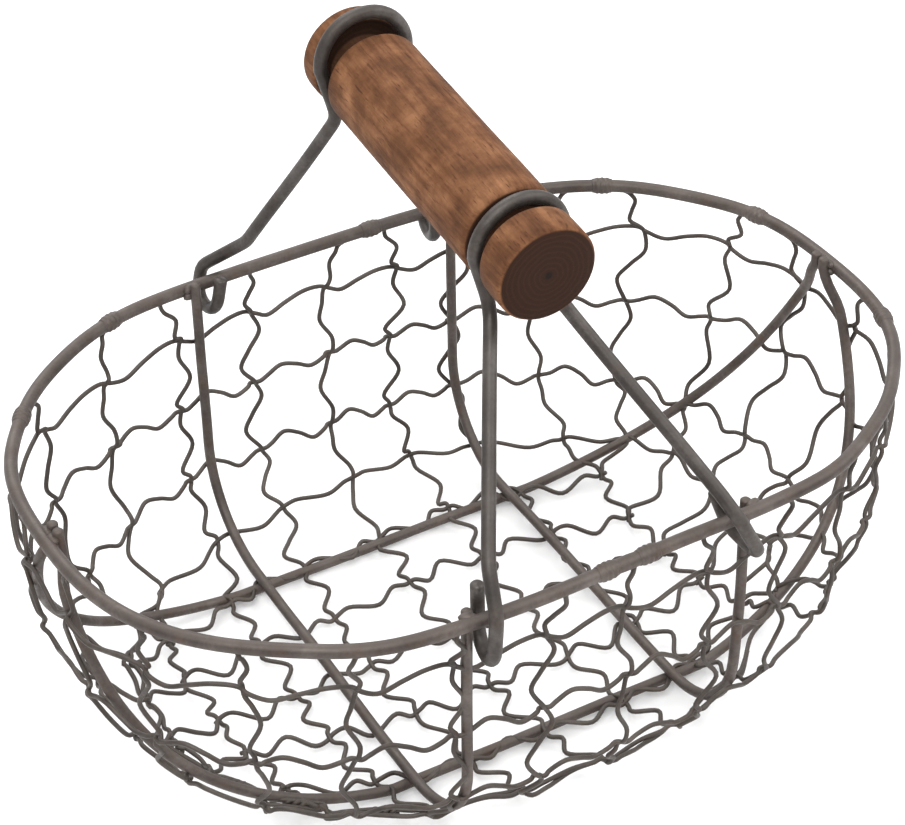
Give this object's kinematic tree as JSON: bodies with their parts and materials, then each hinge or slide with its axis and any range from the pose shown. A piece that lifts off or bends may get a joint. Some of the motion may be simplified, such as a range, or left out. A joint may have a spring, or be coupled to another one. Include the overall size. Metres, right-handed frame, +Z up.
{
  "type": "egg collection basket",
  "caption": "Oval wire egg basket: a netted bowl on a welded wire frame, carried by hooked wire bails and a turned wooden grip.",
  "frame": {"origin": "On the resting plane, under the middle of the rim.", "axes": "+X along the rim's long axis, +Y across it from the near bail to the far bail, +Z up out of the bowl's mouth."},
  "size_m": [0.2669, 0.1949, 0.1947],
  "materials": {
    "rim_wire": "old bright wire gone grey-brown with light rust, semi-matt",
    "rib_wire": "dull grey-brown wire with rust in the bends and at the welds",
    "net_wire": "thin dark netting wire, dull, rusty at the twists",
    "tie_wire": "thin dark wire wound tight, dull",
    "bail_wire": "plain grey wire, lightly worn to bright metal on its upper side",
    "grip_wood": "bare turned hardwood, hand-darkened, with fine reddish grain flecks and a nearly black end"
  },
  "bodies": {
    "basket": {"rim": "rim_wire", "cross_rib_left": "rib_wire", "cross_rib_right": "rib_wire", "long_rib_far": "rib_wire", "long_rib_near": "rib_wire", "net_end_left": "net_wire", "net_end_right": "net_wire", "net_far_left": "net_wire", "net_far_middle": "net_wire", "net_far_right": "net_wire", "net_near_left": "net_wire", "net_near_middle": "net_wire", "net_near_right": "net_wire", "net_floor_left": "net_wire", "net_floor_middle": "net_wire", "net_floor_right": "net_wire", "net_tie_1": "tie_wire", "net_tie_2": "tie_wire", "net_tie_3": "tie_wire", "net_tie_4": "tie_wire", "net_tie_5": "tie_wire", "net_tie_6": "tie_wire", "net_tie_7": "tie_wire", "net_tie_8": "tie_wire"},
    "near_bail": {"bail_near": "bail_wire"},
    "far_bail": {"bail_far": "bail_wire"},
    "handle_grip": {"grip": "grip_wood"}
  },
  "joints": [
    {"name": "near_bail_sway", "type": "hinge", "parent": "basket", "child": "near_bail", "pos_m": [0, -0.0886, 0.0925], "axis": [1, 0, 0], "range_deg": [0, 5]},
    {"name": "far_bail_sway", "type": "hinge", "parent": "basket", "child": "far_bail", "pos_m": [0, 0.0886, 0.0925], "axis": [1, 0, 0], "range_deg": [0, 4.6]},
    {"name": "grip_rock", "type": "hinge", "parent": "near_bail", "child": "handle_grip", "pos_m": [0, -0.0381, 0.1666], "axis": [1, 0, 0], "range_deg": [-9.8, 0]}
  ],
  "couplings": [
    {"joint": "far_bail_sway", "follows": "near_bail_sway", "ratio": 0.9},
    {"joint": "grip_rock", "follows": "near_bail_sway", "ratio": -1.955}
  ]
}
